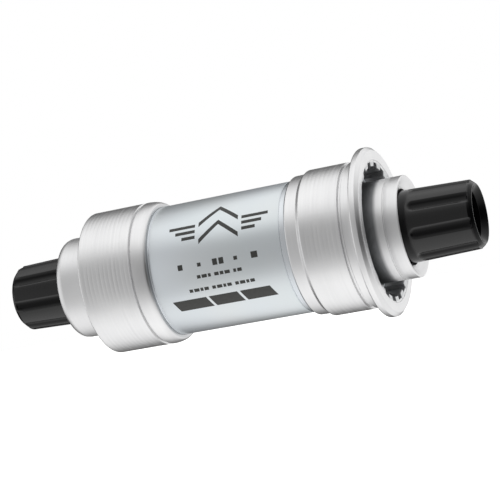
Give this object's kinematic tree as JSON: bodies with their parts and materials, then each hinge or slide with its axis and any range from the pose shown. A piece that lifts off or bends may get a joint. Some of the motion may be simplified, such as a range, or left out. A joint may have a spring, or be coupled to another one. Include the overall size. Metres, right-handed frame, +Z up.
{
  "type": "bottom bracket",
  "caption": "Sealed cartridge bottom bracket: splined hollow spindle in ball bearings, flanged drive-side cup and removable non-drive cup for an English-threaded frame shell.",
  "frame": {"origin": "middle of the spindle's length on its axis, which is also the middle of the frame shell", "axes": "+Y along the spindle towards the non-drive side (drive side at -Y), +X forward on the bicycle, +Z up"},
  "size_m": [0.04, 0.118, 0.04],
  "materials": {
    "tube_steel": "zinc-plated drawn tube, satin",
    "label_film": "silver printed film, soft gloss",
    "cup_aluminium": "turned and silver anodised, satin",
    "collar_aluminium": "turned, fine bead-blasted, satin",
    "seal_rubber": "moulded, matt",
    "bearing_steel": "hardened and ground",
    "ball_steel": "polished",
    "cage_nylon": "glass-filled nylon, matt",
    "shield_steel": "pressed sheet, dark phosphate",
    "spring_steel": "phosphated spring steel",
    "spindle_steel": "black oxide, oiled, semi-gloss"
  },
  "bodies": {
    "cartridge": {"cartridge_tube": "tube_steel", "label_wrap": "label_film", "drive_cup": "cup_aluminium", "drive_seal_collar": "collar_aluminium", "nondrive_seal_collar": "collar_aluminium", "drive_lip_seal": "seal_rubber", "nondrive_lip_seal": "seal_rubber", "drive_outer_race": "bearing_steel", "nondrive_outer_race": "bearing_steel", "drive_outboard_shield": "shield_steel", "drive_inboard_shield": "shield_steel", "nondrive_outboard_shield": "shield_steel", "nondrive_inboard_shield": "shield_steel"},
    "spindle": {"spindle": "spindle_steel", "drive_inner_race": "bearing_steel", "nondrive_inner_race": "bearing_steel", "drive_circlip": "spring_steel", "nondrive_circlip": "spring_steel"},
    "drive_ball_set": {"drive_balls": "ball_steel", "drive_ball_cage": "cage_nylon"},
    "nondrive_ball_set": {"nondrive_balls": "ball_steel", "nondrive_ball_cage": "cage_nylon"},
    "nondrive_cup": {"nondrive_cup": "cup_aluminium"}
  },
  "joints": [
    {"name": "spindle_spin", "type": "hinge", "parent": "cartridge", "child": "spindle", "pos_m": [0, 0, 0], "axis": [0, 1, 0], "continuous": true},
    {"name": "drive_balls_roll", "type": "hinge", "parent": "cartridge", "child": "drive_ball_set", "pos_m": [0, -0.025, 0], "axis": [0, 1, 0], "continuous": true},
    {"name": "nondrive_balls_roll", "type": "hinge", "parent": "cartridge", "child": "nondrive_ball_set", "pos_m": [0, 0.025, 0], "axis": [0, 1, 0], "continuous": true},
    {"name": "nondrive_cup_slide", "type": "slide", "parent": "cartridge", "child": "nondrive_cup", "axis": [0, 1, 0], "range_m": [0, 0.045]}
  ],
  "couplings": [
    {"joint": "drive_balls_roll", "follows": "spindle_spin", "ratio": 0.4155},
    {"joint": "nondrive_balls_roll", "follows": "spindle_spin", "ratio": 0.4155}
  ]
}
